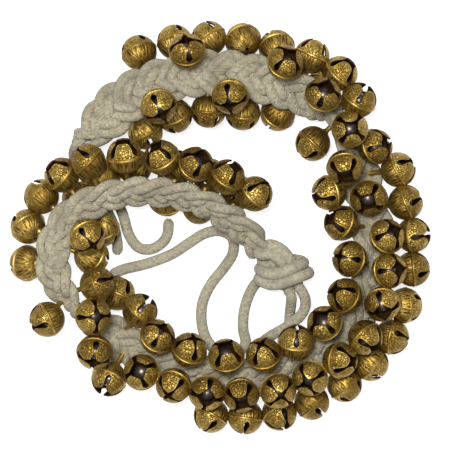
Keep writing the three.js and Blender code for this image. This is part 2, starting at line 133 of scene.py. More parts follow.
# Knot: its axis, the bight and cords gathered along it, and the two turns of the winding
KNOT_TOP = np.array((20.2, -15.2, 12.3))
KNOT_FOOT = np.array((33.5, -31.5, 12.3))
KNOT_CORDS = [
    [
        (14.5, -9, 16),
        (18.5, -10.8, 17),
        (23.5, -10, 17),
        (29, -13, 17),
        (33, -18.5, 16),
        (34.5, -25, 13),
        (37.6, -32, 12.2),
    ],
    [
        (14.5, -13, 15),
        (18.5, -14.8, 17),
        (23, -14.4, 18),
        (27.5, -17.6, 17.5),
        (30, -23, 14),
        (31.4, -30, 12.4),
        (33.1, -36.2, 11.7),
    ],
    [(16.5, -12.5, 9), (22, -17.5, 11), (28.5, -25.5, 11), (35, -32, 10)],
    [(17, -16.5, 11), (20, -20, 12), (25, -26, 12), (31, -32, 11)],
]
KNOT_TURNS = [
    [
        (28, -18.6, 5.5),
        (21, -20, 7),
        (17.4, -22.2, 13),
        (22.9, -24.6, 19.6),
        (29.6, -23.4, 20.8),
        (35.4, -20.7, 19.4),
        (39.4, -18.9, 13.5),
        (35, -17.5, 7.5),
        (28, -18.6, 5.5),
    ],
    [
        (30, -24.3, 4.5),
        (22, -25.6, 6),
        (17, -27, 12.5),
        (23.9, -29.9, 18.6),
        (30.6, -28.4, 19.8),
        (37.6, -25.8, 18.6),
        (42, -23.9, 12.5),
        (37, -23, 6),
        (30, -24.3, 4.5),
    ],
]

# Tie cords, from the exit of each to its bare end
CORD_FLOOR = CORD_RADIUS
CORD_ROUTES = {
    "long_tie_cord": [
        (17.5, -27.5, 6),
        (14.4, -31, CORD_FLOOR),
        (11.4, -37, CORD_FLOOR),
        (9.4, -45, CORD_FLOOR),
        (9.2, -53, CORD_FLOOR),
        (10.4, -59, CORD_FLOOR),
        (8.5, -62.8, CORD_FLOOR),
        (2.5, -65.2, CORD_FLOOR),
        (-4, -63.6, CORD_FLOOR),
        (-8.2, -59.4, CORD_FLOOR),
        (-10.8, -54, CORD_FLOOR),
        (-12, -46, CORD_FLOOR),
        (-11, -38, CORD_FLOOR),
        (-6.5, -29, CORD_FLOOR),
        (-0.5, -21.5, CORD_FLOOR),
        (4, -14, CORD_FLOOR),
        (3.6, -6.5, CORD_FLOOR),
        (-2.5, -3, CORD_FLOOR),
        (-10, -4.2, CORD_FLOOR),
        (-18, -9, CORD_FLOOR),
        (-26.5, -14.5, CORD_FLOOR),
        (-39.5, -19.5, CORD_FLOOR),
        (-51.5, -22.5, CORD_FLOOR),
        (-58, -25.5, CORD_FLOOR),
    ],
    "left_foot_cord": [
        (31.4, -33.6, 12.3),
        (33.2, -35.8, 12.1),
        (33.2, -39.4, 8.6),
        (32.8, -43.6, 4.4),
        (32.6, -47.4, CORD_FLOOR),
        (32.8, -51.4, CORD_FLOOR),
        (34.4, -54.6, CORD_FLOOR),
        (37.6, -56.2, CORD_FLOOR),
        (41, -55.4, CORD_FLOOR),
    ],
    "right_foot_cord": [
        (35.9, -29.9, 12.3),
        (38.4, -33, 12.2),
        (40.2, -36.8, 11),
        (40.4, -40.6, 9.6),
        (38.6, -44.8, 8.8),
        (34.4, -48.8, 8.4),
        (29.4, -52.2, 7.2),
        (24.6, -55, 4.6),
        (20.4, -57.8, 2.8),
        (16.6, -61.5, CORD_FLOOR),
    ],
    "near_end_cord": [
        (-70.4, 44.4, 20),
        (-73.7, 40.7, 19.7),
        (-75.8, 36.5, 14),
        (-75.6, 32.5, 8.5),
        (-74, 28.6, 4.6),
        (-70.5, 24, CORD_FLOOR),
        (-65, 16, CORD_FLOOR),
        (-59.5, 7, CORD_FLOOR),
        (-56, -1, CORD_FLOOR),
        (-54.3, -10, CORD_FLOOR),
        (-54.6, -15, CORD_FLOOR),
    ],
    "far_end_cord": [
        (-66.5, 40.7, 20),
        (-69.4, 37.4, 19.7),
        (-69.6, 34.6, 14),
        (-68.2, 32.2, 8.5),
        (-65.6, 29.2, 4.6),
        (-62, 24, CORD_FLOOR),
        (-56, 15, CORD_FLOOR),
        (-51.5, 5, CORD_FLOOR),
        (-48.2, -5.5, CORD_FLOOR),
        (-43.5, -11.4, CORD_FLOOR),
        (-37.5, -12.2, CORD_FLOOR),
        (-31.8, -9, CORD_FLOOR),
        (-29.2, -5, CORD_FLOOR),
        (-28.4, 3.2, CORD_FLOOR),
    ],
}

# The routes above are drawn round the photograph's middle: the knot shows where that lies in the frame
knot_low, knot_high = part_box("knot_core")
SHIFT = np.array((knot_low + knot_high) / 2) - (KNOT_TOP + KNOT_FOOT) / 2 * MM
SHIFT[2] = 0.0


# Smooth curves
ROUTE_SAMPLES = 40
BAND_SAMPLES = 60
TANGENT_STEP = 1e-4


def unit(vector):
    return vector / np.linalg.norm(vector)


def curve_point(points, share):
    """A point of the centripetal curve through the points; share runs from 0 to 1."""
    place = share * (len(points) - 1)
    index = min(int(place), len(points) - 2)
    part = place - index
    p1, p2 = points[index], points[index + 1]
    p0 = points[index - 1] if index > 0 else 2 * p1 - p2
    p3 = points[index + 2] if index + 2 < len(points) else 2 * p2 - p1
    d0, d1, d2 = (math.sqrt(np.linalg.norm(b - a)) for a, b in ((p0, p1), (p1, p2), (p2, p3)))
    t1 = ((p1 - p0) / d0 - (p2 - p0) / (d0 + d1) + (p2 - p1) / d1) * d1
    t2 = ((p2 - p1) / d1 - (p3 - p1) / (d1 + d2) + (p3 - p2) / d2) * d1
    return p1 + t1 * part + (3 * (p2 - p1) - 2 * t1 - t2) * part**2 + (2 * (p1 - p2) + t1 + t2) * part**3


def distances_along(path):
    """How far along a path each of its points lies."""
    return np.concatenate(([0], np.cumsum(np.linalg.norm(np.diff(path, axis=0), axis=1))))


def smooth_path(route, step):
    """The smooth line through a route's points, with its own points evenly spaced."""
    points = [np.array(point, float) for point in route]
    count = len(points) * ROUTE_SAMPLES
    line = np.array([curve_point(points, index / count) for index in range(count + 1)])
    gone = distances_along(line)
    wanted = np.linspace(0, gone[-1], max(2, round(gone[-1] / step) + 1))
    return np.stack([np.interp(wanted, gone, line[:, axis]) for axis in range(3)], axis=1)


def tangent_at(path, index):
    return unit(path[min(index + 1, len(path) - 1)] - path[max(index - 1, 0)])


class BandAxis:
    """The band's axis: position and frame at a distance along it."""

    def __init__(self, route):
        self.route = np.array(route, float)
        self.plan = [np.array((x, y, 0.0)) for x, y, _, _ in route]
        self.count = len(route) * BAND_SAMPLES
        line = [curve_point(self.plan, index / self.count) for index in range(self.count + 1)]
        self.gone = distances_along(np.array(line))
        self.length = self.gone[-1]

    def eased(self, parameter, column):
        place = parameter * (len(self.route) - 1)
        index = min(int(place), len(self.route) - 2)
        share = place - index
        share = share * share * (3 - 2 * share)
        return self.route[index, column] * (1 - share) + self.route[index + 1, column] * share

    def axis_point(self, parameter):
        point = curve_point(self.plan, parameter)
        point[2] = self.eased(parameter, 2)
        return point

    def frame_at(self, distance):
        parameter = np.interp(distance, self.gone, np.arange(self.count + 1)) / self.count
        origin = self.axis_point(parameter)
        ahead = self.axis_point(min(parameter + TANGENT_STEP, 1))
        along = unit(ahead - self.axis_point(max(parameter - TANGENT_STEP, 0)))
        right = unit(np.cross(along, UP))
        above = np.cross(right, along)
        roll = math.radians(self.eased(parameter, 3))
        bell_side = above * math.cos(roll) + right * math.sin(roll)
        edge = right * math.cos(roll) - above * math.sin(roll)
        return origin, bell_side, edge


band = BandAxis(BAND_ROUTE)


# Shapes: points, faces, and for each face corner a place on the surface
class Shape:
    def __init__(self):
        self.points = []
        self.faces = []
        self.corners = []
        self.slots = []

    def add(self, points, faces, corners, slots=None):
        first = len(self.points)
        self.points.extend(points)
        self.faces.extend([[first + index for index in face] for face in faces])
        self.corners.extend(corners)
        self.slots.extend(slots or [0] * len(faces))


def link(obj):
    bpy.context.scene.collection.objects.link(obj)
    return obj


def mesh_object(name, shape, materials, local=None, sharp=None):
    """An object from a shape in the frame, in metres. local gives each point the place that textures read."""
    mesh = bpy.data.meshes.new(name)
    mesh.from_pydata([tuple(point) for point in shape.points], [], shape.faces)
    layer = mesh.uv_layers.new(name="surface")
    layer.data.foreach_set("uv", [value for face in shape.corners for corner in face for value in corner])
    mesh.polygons.foreach_set("material_index", shape.slots)
    mesh.polygons.foreach_set("use_smooth", [True] * len(shape.faces))
    if local is not None:
        attribute = mesh.attributes.new("local", "FLOAT_VECTOR", "POINT")
        attribute.data.foreach_set("vector", np.array(local, float).ravel())
    for material in materials:
        mesh.materials.append(material)
    mesh.update()
    if sharp:
        mesh.set_sharp_from_angle(angle=math.radians(sharp))
    return link(bpy.data.objects.new(name, mesh))


# Rise at which the start of a tube counts as upright, and share of the width that its end rings keep
STEEP = 0.9
END_SHARE = 0.4


def carried_normals(path):
    """Directions square to a path that turn with it as little as they can."""
    tangents = [tangent_at(path, index) for index in range(len(path))]
    normal = unit(np.cross(tangents[0], UP if abs(tangents[0][2]) < STEEP else np.array((1.0, 0, 0))))
    normals = []
    for tangent in tangents:
        normal = unit(normal - tangent * np.dot(normal, tangent))
        normals.append(normal)
    return normals


def add_tube(shape, path, radius, sides, normals=None, flat=1.0, shrink=None):
    """A closed tube with round ends. flat squeezes it along the normals, and shrink scales each ring."""
    normals = carried_normals(path) if normals is None else normals
    gone = distances_along(path)
    points, faces, corners = [], [], []
    for index, centre in enumerate(path):
        tangent = tangent_at(path, index)
        out = unit(normals[index] - tangent * np.dot(normals[index], tangent))
        across = np.cross(tangent, out)
        scale = 1.0 if shrink is None else shrink[index]
        from_end = min(1.0, min(gone[index], gone[-1] - gone[index]) / radius)
        scale *= max(END_SHARE, math.sqrt(1 - (1 - from_end) ** 2))
        for side in range(sides):
            angle = 2 * math.pi * side / sides
            offset = across * math.cos(angle) + out * (flat * math.sin(angle))
            points.append((centre + offset * radius * scale) * MM + SHIFT)
    for index in range(len(path) - 1):
        for side in range(sides):
            after = (side + 1) % sides
            a, b = index * sides, (index + 1) * sides
            faces.append([a + side, a + after, b + after, b + side])
            u0, u1 = side / sides, (side + 1) / sides
            v0, v1 = gone[index], gone[index + 1]
            corners.append([(u0, v0), (u1, v0), (u1, v1), (u0, v1)])
    last = (len(path) - 1) * sides
    first_cap = list(range(sides - 1, -1, -1))
    last_cap = list(range(last, last + sides))
    for cap, distance in ((first_cap, 0), (last_cap, gone[-1])):
        faces.append(cap)
        corners.append([(0.5, distance)] * sides)
    shape.add(points, faces, corners)


# Parts that the materials are made of
def new_material(name):
    material = bpy.data.materials.new(name)
    material.use_nodes = True
    tree = material.node_tree
    return material, tree, tree.nodes["Principled BSDF"]


def is_output(value):
    return hasattr(value, "is_output")


def fill(tree, sockets, values):
    """Links each value to its socket, or sets the socket to it."""
    for socket, value in zip(sockets, values):
        if is_output(value):
            tree.links.new(value, socket)
        else:
            socket.default_value = value


def math_node(tree, operation, *values):
    made = tree.nodes.new("ShaderNodeMath")
    made.operation = operation
    fill(tree, made.inputs, values)
    return made.outputs[0]


def vector_node(tree, operation, output, *values):
    made = tree.nodes.new("ShaderNodeVectorMath")
    made.operation = operation
    fill(tree, made.inputs, values)
    return made.outputs[output]


def combined(tree, x, y, z=0.0):
    made = tree.nodes.new("ShaderNodeCombineXYZ")
    fill(tree, made.inputs, (x, y, z))
    return made.outputs[0]


def ramp(tree, value, low, high, first=0.0, last=1.0):
    """A smooth step from first to last, while the value goes from low to high."""
    made = tree.nodes.new("ShaderNodeMapRange")
    made.interpolation_type = "SMOOTHSTEP"
    fill(tree, made.inputs, (value, low, high, first, last))
    return made.outputs[0]


def blend(tree, factor, first, second):
    """A mix of two colours."""
    made = tree.nodes.new("ShaderNodeMix")
    made.data_type = "RGBA"
    tree.links.new(factor, made.inputs["Factor"])
    sockets = [socket for socket in made.inputs if socket.type == "RGBA"]
    fill(tree, sockets, [colour if is_output(colour) else (*colour, 1) for colour in (first, second)])
    return [socket for socket in made.outputs if socket.type == "RGBA"][0]


def texture(tree, kind, vector, scale, **settings):
    made = tree.nodes.new(kind)
    for key, value in settings.items():
        if key in made.inputs:
            made.inputs[key].default_value = value
        else:
            setattr(made, key, value)
    made.inputs["Scale"].default_value = scale
    tree.links.new(vector, made.inputs["Vector"])
    return made


def noise(tree, vector, scale, **settings):
    return texture(tree, "ShaderNodeTexNoise", vector, scale, **settings).outputs["Fac"]


def bump(tree, height, strength, distance):
    made = tree.nodes.new("ShaderNodeBump")
    made.inputs["Strength"].default_value = strength
    made.inputs["Distance"].default_value = distance
    tree.links.new(height, made.inputs["Height"])
    return made.outputs[0]


def surface_place(tree):
    """The place on the surface: share of a turn, and latitude on a bell or distance along a cord."""
    uv = tree.nodes.new("ShaderNodeUVMap")
    uv.uv_map = "surface"
    parts = tree.nodes.new("ShaderNodeSeparateXYZ")
    tree.links.new(uv.outputs[0], parts.inputs[0])
    return parts.outputs[0], parts.outputs[1]


def local_place(tree):
    made = tree.nodes.new("ShaderNodeAttribute")
    made.attribute_name = "local"
    return made.outputs["Vector"]


# Stretches of a noise over which a surface goes from one colour or gloss to the other
MOTTLE_SPAN = (0.35, 0.7)
GLOSS_SPAN = (0.3, 0.7)

# Brass where it is rubbed, where it is dull, on the oldest bells, and in the hollows of its relief, where
# dark patina is deepened with painted shade
BRASS_BRIGHT = (0.52, 0.36, 0.092)
BRASS_DULL = (0.285, 0.174, 0.027)
BRASS_AGED = (0.2, 0.118, 0.02)
BRASS_HOLLOW_PATINA_AND_SHADE = (0.072, 0.033, 0.003)
BRASS_METALLIC = 0.94
# Bounds of the petals' relief and the cup's ridges: shares of half a petal's width, and of a right angle
PETALS = 4
PETAL_SIDE = (0.86, 0.96)
PETAL_FOOT = (0.035, 0.065)
PETAL_HEAD = (0.74, 0.82)
CUP_EDGE = (-0.06, -0.03)
# Relief: hammered facets with grooves between them on the petals, and ridges down the cup
PEBBLE_SCALE = 0.75
PEBBLE_GROOVE = (0.0, 0.18)
PEBBLE_HEIGHTS = (0.23, 0.88)
FACET_TILT = 1.2
MIDDLE_COLOUR = (0.5, 0.5, 0.5)
RIDGES_ROUND = 70.0
RIDGES_DOWN = 3.2
RIDGE_GROOVE = (0.32, 0.66)
RIDGE_HEIGHTS = (0.12, 0.8)
SMOOTH_RELIEF = 0.8
RELIEF_BUMP = (0.65, 0.0004)
# Wear on each bell, and age that differs from bell to bell
WEAR_SCALE = 0.22
WEAR_SPAN = (0.38, 0.68)
AGE_SCALE = 0.03
AGE_SPAN = (0.42, 0.66)
MOST_AGE = 0.7
BRASS_ROUGHNESS = (0.4, 0.54)


def petal_and_cup(tree, around, latitude):
    """Masks that are 1 inside a petal's smooth border, and 1 on the cup."""
    quarter = math_node(tree, "FRACT", math_node(tree, "MULTIPLY", around, PETALS))
    from_middle = math_node(tree, "ABSOLUTE", math_node(tree, "MULTIPLY_ADD", quarter, 2.0, -1.0))
    between_borders = ramp(tree, from_middle, *PETAL_SIDE, 1.0, 0.0)
    above_rim = math_node(tree, "MULTIPLY", between_borders, ramp(tree, latitude, *PETAL_FOOT))
    petal = math_node(tree, "MULTIPLY", above_rim, ramp(tree, latitude, *PETAL_HEAD, 1.0, 0.0))
    return petal, ramp(tree, latitude, *CUP_EDGE, 1.0, 0.0)


def facet_tilt(tree, local):
    """Height of facets that each lean their own way."""
    facets = texture(tree, "ShaderNodeTexVoronoi", local, PEBBLE_SCALE)
    from_facet = vector_node(tree, "SUBTRACT", "Vector", local, facets.outputs["Position"])
    slope = vector_node(tree, "SUBTRACT", "Vector", facets.outputs["Color"], MIDDLE_COLOUR)
    return vector_node(tree, "DOT_PRODUCT", "Value", from_facet, slope)


def cup_ridges(tree, around, latitude):
    across = math_node(tree, "MULTIPLY", around, RIDGES_ROUND)
    down_the_cup = combined(tree, across, math_node(tree, "MULTIPLY", latitude, RIDGES_DOWN))
    ridges = noise(tree, down_the_cup, 1.0, Detail=2.0, Roughness=0.5, Distortion=0.5)
    return ramp(tree, ridges, *RIDGE_GROOVE, *RIDGE_HEIGHTS)


def brass_material():
    """Cast brass: hammered petals with smooth borders, a smooth rim, and fine ridges down the cup."""
    material, tree, shader = new_material("cast_brass")
    around, latitude = surface_place(tree)
    local = local_place(tree)
    petal, cup = petal_and_cup(tree, around, latitude)
    pebbles = texture(tree, "ShaderNodeTexVoronoi", local, PEBBLE_SCALE, feature="DISTANCE_TO_EDGE")
    pebble_height = ramp(tree, pebbles.outputs["Distance"], *PEBBLE_GROOVE, *PEBBLE_HEIGHTS)
    pebbled = math_node(tree, "MULTIPLY", pebble_height, petal)
    ridged = math_node(tree, "MULTIPLY", cup_ridges(tree, around, latitude), cup)
    rough_share = math_node(tree, "ADD", petal, cup)
    smooth = math_node(tree, "MULTIPLY_ADD", rough_share, -SMOOTH_RELIEF, SMOOTH_RELIEF)
    relief = math_node(tree, "ADD", math_node(tree, "ADD", pebbled, ridged), smooth)
    wear = noise(tree, local, WEAR_SCALE, Detail=4.0, Roughness=0.6)
    rubbed = blend(tree, ramp(tree, wear, *WEAR_SPAN), BRASS_BRIGHT, BRASS_DULL)
    age = ramp(tree, noise(tree, local, AGE_SCALE), *AGE_SPAN, 0.0, MOST_AGE)
    clean = blend(tree, age, rubbed, BRASS_AGED)
    # The colour darkens in the grooves of the relief: partly patina, partly painted shade
    colour = blend(tree, ramp(tree, relief, 0.0, SMOOTH_RELIEF), BRASS_HOLLOW_PATINA_AND_SHADE, clean)
    tree.links.new(colour, shader.inputs["Base Color"])
    tree.links.new(ramp(tree, wear, *GLOSS_SPAN, *BRASS_ROUGHNESS), shader.inputs["Roughness"])
    shader.inputs["Metallic"].default_value = BRASS_METALLIC
    tilt = math_node(tree, "MULTIPLY", facet_tilt(tree, local), petal)
    height = math_node(tree, "MULTIPLY_ADD", tilt, FACET_TILT, relief)
    tree.links.new(bump(tree, height, *RELIEF_BUMP), shader.inputs["Normal"])
    return material


# Inside of the bells, near black: tarnish deepened with painted shade, also on the cut edges of the petals;
# and pellets
INSIDE_DARK = (0.022, 0.009, 0.002)
INSIDE_LIGHT = (0.058, 0.027, 0.006)
GRIME_SCALE = 0.5
STEEL_LIGHT = (0.23, 0.178, 0.15)
STEEL_DARK = (0.12, 0.085, 0.07)
STEEL_ROUGHNESS = (0.32, 0.44)
SCUFF_SCALE = 0.9


def inside_material():
    material, tree, shader = new_material("tarnish_and_painted_shade_inside")
    grime = noise(tree, local_place(tree), GRIME_SCALE, Detail=4.0)
    colour = blend(tree, ramp(tree, grime, *MOTTLE_SPAN), INSIDE_DARK, INSIDE_LIGHT)
    tree.links.new(colour, shader.inputs["Base Color"])
    shader.inputs["Metallic"].default_value = 0.5
    shader.inputs["Roughness"].default_value = 0.6
    shader.inputs["Specular IOR Level"].default_value = 0.2
    return material


def steel_material():
    material, tree, shader = new_material("pellet_steel")
    scuffs = noise(tree, local_place(tree), SCUFF_SCALE, Detail=5.0, Roughness=0.65)
    colour = blend(tree, ramp(tree, scuffs, *MOTTLE_SPAN), STEEL_LIGHT, STEEL_DARK)
    tree.links.new(colour, shader.inputs["Base Color"])
    tree.links.new(ramp(tree, scuffs, *GLOSS_SPAN, *STEEL_ROUGHNESS), shader.inputs["Roughness"])
    shader.inputs["Metallic"].default_value = 0.85
    return material


# Cotton: light and shade, yarns round a cord, and how many yarns a millimetre along it crosses
PLAIT_COTTON = ((0.43, 0.388, 0.268), (0.31, 0.275, 0.186), 6.0, 0.55)
TIE_COTTON = ((0.41, 0.375, 0.266), (0.33, 0.30, 0.211), 4.0, 0.45)
SMUDGE = (0.20, 0.155, 0.085)
SMUDGE_SPAN = (0.52, 0.74)
MOST_SMUDGE = 0.55
# Painted shade in the low spots of the fuzz: its share of the shade tone, and the stretch of fuzz over which
# it lifts
FUZZ_HOLLOW_SHADE = 0.62
FUZZ_HOLLOW_SPAN = (0.3, 0.6)
YARN_HEIGHT = 0.3
FUZZ_BUMP = (0.8, 0.0011)
# Textures of the cotton, in cells to a metre
DRIFT_SCALE = 300.0
FUZZ_SCALE = 620.0
PATCH_SCALE = 90.0
SMUDGE_SCALE = 45.0


def cotton_material(name, light, shade, yarns, lay):
    """Soft cotton: faint yarns that run round the cord at a slant, under a short fuzz, with painted shade in
    the fuzz's low spots.
    """
    material, tree, shader = new_material(name)
    around, along = surface_place(tree)
    place = tree.nodes.new("ShaderNodeNewGeometry").outputs["Position"]
    slant = math_node(tree, "MULTIPLY_ADD", along, lay, math_node(tree, "MULTIPLY", around, yarns))
    wobble = math_node(tree, "ADD", slant, noise(tree, place, DRIFT_SCALE, Detail=2.0))
    wave = math_node(tree, "SINE", math_node(tree, "MULTIPLY", wobble, math.pi))
    fuzz = noise(tree, place, FUZZ_SCALE, Detail=5.0, Roughness=0.75)
    height = math_node(tree, "MULTIPLY_ADD", math_node(tree, "ABSOLUTE", wave), YARN_HEIGHT, fuzz)
    patches = noise(tree, place, PATCH_SCALE, Detail=4.0)
    tone = blend(tree, ramp(tree, patches, *MOTTLE_SPAN), light, shade)
    smudges = noise(tree, place, SMUDGE_SCALE, Detail=5.0, Roughness=0.7)
    tone = blend(tree, ramp(tree, smudges, *SMUDGE_SPAN, 0.0, MOST_SMUDGE), tone, SMUDGE)
    # Painted shade: the colour darkens where the fuzz, which also makes the bump, is low
    fuzz_hollow_colour = tuple(FUZZ_HOLLOW_SHADE * value for value in shade)
    fuzz_shaded_colour = blend(tree, ramp(tree, fuzz, *FUZZ_HOLLOW_SPAN), fuzz_hollow_colour, tone)
    tree.links.new(fuzz_shaded_colour, shader.inputs["Base Color"])
    shader.inputs["Roughness"].default_value = 0.95
    shader.inputs["Sheen Weight"].default_value = 0.2
    shader.inputs["Sheen Roughness"].default_value = 0.6
    shader.inputs["Specular IOR Level"].default_value = 0.1
    tree.links.new(bump(tree, height, *FUZZ_BUMP), shader.inputs["Normal"])
    return material


BRASS = brass_material()
INSIDE = inside_material()
STEEL = steel_material()
COTTON = cotton_material("plait_cotton", *PLAIT_COTTON)
CORD_COTTON = cotton_material("cord_cotton", *TIE_COTTON)


# Camera: straight down, half a millimetre to a pixel
PHOTO_PIXELS = 450
PIXEL = 0.5 * MM
CAMERA_HEIGHT = 1.8
FOCUS_HEIGHT = 0.02
SENSOR_WIDTH = 36


def add_camera():
    camera = link(bpy.data.objects.new("camera", bpy.data.cameras.new("camera")))
    camera.location = (SHIFT[0], SHIFT[1], CAMERA_HEIGHT)
    camera.data.sensor_width = SENSOR_WIDTH
    camera.data.lens = SENSOR_WIDTH * (CAMERA_HEIGHT - FOCUS_HEIGHT) / (PHOTO_PIXELS * PIXEL)
    bpy.context.scene.camera = camera


# Tie cords
def add_cords():
    for name, route in CORD_ROUTES.items():
        path = smooth_path(route, CORD_STEP)
        path[:, 2] = np.maximum(path[:, 2], CORD_FLOOR)
        shape = Shape()
        flat = CORD_RADIUS / CORD_HALF_WIDTH
        add_tube(shape, path, CORD_HALF_WIDTH, CORD_SIDES, [UP] * len(path), flat)
        cord = mesh_object(f"{name}_cotton", shape, [CORD_COTTON])
        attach(cord, "string")
        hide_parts(name)


# Plait: three strands of two cords each, swinging from edge to edge and over and under
def band_half_width(distance):
    def ease(gone):
        return math.sin(math.pi / 2 * min(max(gone / BAND_TAPER_LENGTH, 0), 1))

    full = BAND_WIDTH / 2 * np.interp(distance, PLAIT_DISTANCES, PLAIT_SPREADS)
    neck = BAND_NECK_WIDTH / 2 + (full - BAND_NECK_WIDTH / 2) * ease(distance)
    tip = BAND_TIP_WIDTH / 2 + (full - BAND_TIP_WIDTH / 2) * ease(band.length - distance)
    return min(neck, tip)


def strand_point(distance, strand):
    phase = 2 * math.pi * (distance / PLAIT_PITCH + strand / STRANDS)
    origin, bell_side, edge = band.frame_at(distance)
    reach = band_half_width(distance) - STRAND_RADIUS - PAIR_OFFSET * PAIR_SHARE_AT_EDGE
    return origin + edge * reach * math.sin(phase) + bell_side * PLAIT_DEPTH * math.sin(2 * phase), bell_side


def uneven(distances):
    """Factors near 1 that wander along the band, as in plaiting by hand."""
    count = math.ceil(band.length / UNEVEN_PITCH) + 1
    factors = [1 + dice.uniform(-PLAIT_UNEVENNESS, PLAIT_UNEVENNESS) for _ in range(count)]
    return np.interp(distances, np.arange(count) * UNEVEN_PITCH, factors)


def add_plait():
    shape = Shape()
    distances = np.linspace(0, band.length, round(band.length / PLAIT_STEP) + 1)
    for strand in range(STRANDS):
        line = [strand_point(distance, strand) for distance in distances]
        centres = np.array([point for point, _ in line])
        normals = [normal for _, normal in line]
        for side in (-1, 1):
            offsets = side * PAIR_OFFSET * uneven(distances)
            path = []
            for index, centre in enumerate(centres):
                sideways = unit(np.cross(tangent_at(centres, index), normals[index]))
                path.append(centre + offsets[index] * sideways)
            shrink = uneven(distances)
            add_tube(shape, np.array(path), STRAND_RADIUS, STRAND_SIDES, normals, STRAND_FLATNESS, shrink)
    for route in LOOSE_ENDS:
        add_tube(shape, smooth_path(route, CORD_STEP), LOOSE_END_RADIUS, STRAND_SIDES)
    plait = mesh_object("plait", shape, [COTTON])
    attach(plait, "string")
    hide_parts("braided_band")


# Knot: a bight and the gathered cords, bound by two turns
def add_knot():
    for name, node_name, routes in (
        ("knot_cords", "knot_core", KNOT_CORDS),
        ("knot_winding", "knot_wrap", KNOT_TURNS),
    ):
        shape = Shape()
        for route in routes:
            add_tube(shape, smooth_path(route, CORD_STEP), CORD_RADIUS + KNOT_SWELL, CORD_SIDES)
        cords = mesh_object(name, shape, [CORD_COTTON])
        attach(cords, "string")
        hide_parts(node_name)


# Bell casting: latitudes of its rings in degrees, of which the petals' ends stretch to the tips
CUP_RINGS = [-84, -75, -66, -57, -48, -39, -30, -21, -12, -6]
RIM_RINGS = [-2.8, -1.2, 1.2, 2.8]
PETAL_RINGS = [6, 10, 13, 15, 17.5, 21, 25, 30, 36, 42, 48, 54]
TIP_SHARES = (0.3, 0.55, 0.75, 0.9, 1.0)
RIM_HALF_LATITUDE = 2
RIGHT_ANGLE = 90
HALF_PETAL = 180 / PETALS
PETAL_COLUMNS = 12
WELD_DISTANCE = 1e-4
SHARP_ANGLE = 55
# Keyhole slots between the petals: where they start, are widest and reach their neck, and half their width
SLOT_START, SLOT_WIDEST, SLOT_NECK = 12.0, 25.0, 56.0
SLOT_HALF_WIDTH = 1.6
WIDEST_GAP_SINE = 0.9
NARROWEST_TIP_SHARE = 0.12
# How far the petals close, from wide open to shut: latitude of the tips, and half width of the slot there
CLOSINGS = ((64.0, 0.85), (69.0, 0.7), (74.0, 0.55), (79.0, 0.45))
# Outline of the shank, from its fillet in the cup's wall down into the plait: radius and height
SHANK_OUTLINE = (
    (2.4, -8.4),
    (1.7, -9.0),
    (SHANK_RADIUS, -9.6),
    (SHANK_RADIUS, -BELL_RADIUS - SHANK_LENGTH - SHANK_SUNK),
)
SHANK_SIDES = 12
# The shank takes the smooth finish that the brass has at this share of the way down the cup
SHANK_LATITUDE = -0.02
PELLET_SEGMENTS, PELLET_RINGS = 24, 14
# A pellet looks the same all over, so its whole surface has one place
PELLET_PLACE = (0.0, -0.5)


def petal_half_angle(latitude, tip, neck_half_width):
    """Half the angle that a petal takes at a latitude, in degrees."""
    if latitude <= SLOT_START:
        return HALF_PETAL
    if latitude < SLOT_WIDEST:
        gone = (SLOT_WIDEST - latitude) / (SLOT_WIDEST - SLOT_START)
        gap = SLOT_HALF_WIDTH * math.sqrt(1 - gone**2)
    else:
        gone = min(1, (latitude - SLOT_WIDEST) / (SLOT_NECK - SLOT_WIDEST))
        gap = SLOT_HALF_WIDTH + (neck_half_width - SLOT_HALF_WIDTH) * gone
    ring_radius = SHELL_RADIUS * math.cos(math.radians(latitude))
    half = HALF_PETAL - math.degrees(math.asin(min(WIDEST_GAP_SINE, gap / ring_radius)))
    rounding = min(1, max(0, (latitude - SLOT_NECK) / (tip - SLOT_NECK)))
    return half * max(NARROWEST_TIP_SHARE, math.sqrt(1 - rounding**2))


def bell_point(latitude, angle):
    """A point of the bell's outer face: the rim stands proud of it."""
    radius = SHELL_RADIUS + (RIM_PROUD if abs(latitude) < RIM_HALF_LATITUDE else 0.0)
    out = radius * math.cos(math.radians(latitude))
    return out * math.cos(angle), out * math.sin(angle), radius * math.sin(math.radians(latitude))


def add_quarter(work, layer, quarter, latitudes, tip, neck_half_width):
    """A quarter of the bell's outer face, from the foot of the cup to the tip of a petal."""
    rows = []
    for latitude in latitudes:
        half = petal_half_angle(latitude, tip, neck_half_width)
        row = []
        for column in range(PETAL_COLUMNS + 1):
            share = 2 * column / PETAL_COLUMNS - 1
            angle = math.radians((2 * quarter + 1) * HALF_PETAL + share * half)
            row.append(work.verts.new(bell_point(latitude, angle)))
        rows.append(row)
    for r in range(len(rows) - 1):
        for c in range(PETAL_COLUMNS):
            face = work.faces.new((rows[r][c], rows[r][c + 1], rows[r + 1][c + 1], rows[r + 1][c]))
            places = ((c, r), (c + 1, r), (c + 1, r + 1), (c, r + 1))
            for loop, (column, row) in zip(face.loops, places):
                loop[layer].uv = ((quarter + column / PETAL_COLUMNS) / PETALS, latitudes[row] / RIGHT_ANGLE)


